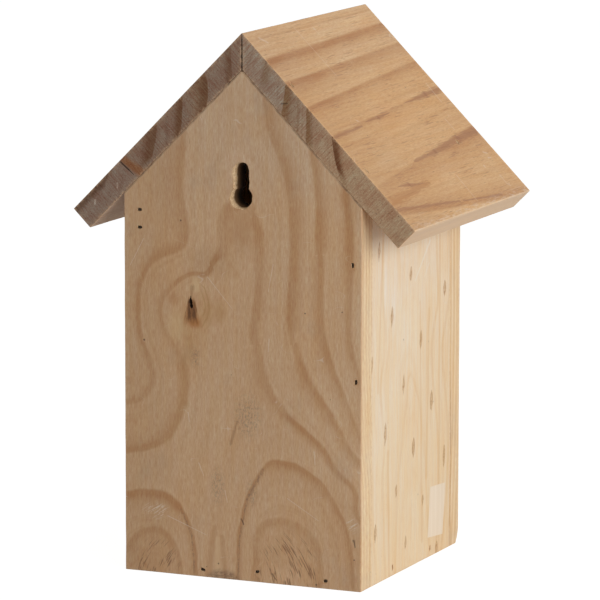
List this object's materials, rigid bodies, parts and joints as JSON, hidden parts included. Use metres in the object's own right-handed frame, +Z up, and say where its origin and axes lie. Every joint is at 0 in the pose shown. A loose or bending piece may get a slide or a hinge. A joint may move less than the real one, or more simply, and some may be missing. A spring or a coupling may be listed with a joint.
{
  "type": "bird nest box",
  "caption": "Pine nest box with gabled front and back boards, mitred pitched roof, round entrance, keyhole for hanging and a swing-out cleaning side held by a wire hook.",
  "frame": {"origin": "on the ground plane at the centre of the box's footprint, roof included", "axes": "+Z up, the front with the entrance faces -Y, the back with the keyhole faces +Y, the cleaning door is at +X"},
  "size_m": [0.1726, 0.144, 0.2557],
  "materials": {
    "pine_back": "planed pine with knots and broad growth rings, bare",
    "pine_side": "planed straight-grained pine, bare",
    "pine_roof": "planed pine with darker bands, bare, greyed sawn ends",
    "nail_steel": "dull bright wire",
    "hook_steel": "zinc plated wire"
  },
  "bodies": {
    "box": {"back_board": "pine_back", "front_board": "pine_back", "left_side": "pine_side", "floor_board": "pine_side", "left_roof_board": "pine_roof", "right_roof_board": "pine_roof", "pivot_nail_rear": "nail_steel", "pivot_nail_front": "nail_steel", "brads_back_to_side": "nail_steel", "brads_back_to_floor": "nail_steel", "brads_front_to_side": "nail_steel", "brads_front_to_floor": "nail_steel", "brads_side_to_floor": "nail_steel", "brads_left_roof_to_back": "nail_steel", "brads_left_roof_to_front": "nail_steel", "brads_right_roof_to_back": "nail_steel", "brads_right_roof_to_front": "nail_steel", "brad_short": "nail_steel"},
    "door": {"right_side_door": "pine_side"},
    "hook": {"door_hook": "hook_steel"}
  },
  "joints": [
    {"name": "door_swing", "type": "hinge", "parent": "box", "child": "door", "pos_m": [0.0522, 0, 0.163], "axis": [0, -1, 0], "range_deg": [0, 60]},
    {"name": "hook_turn", "type": "hinge", "parent": "box", "child": "hook", "pos_m": [0.06, -0.042, 0.026], "axis": [1, 0, 0], "range_deg": [0, 90]}
  ]
}
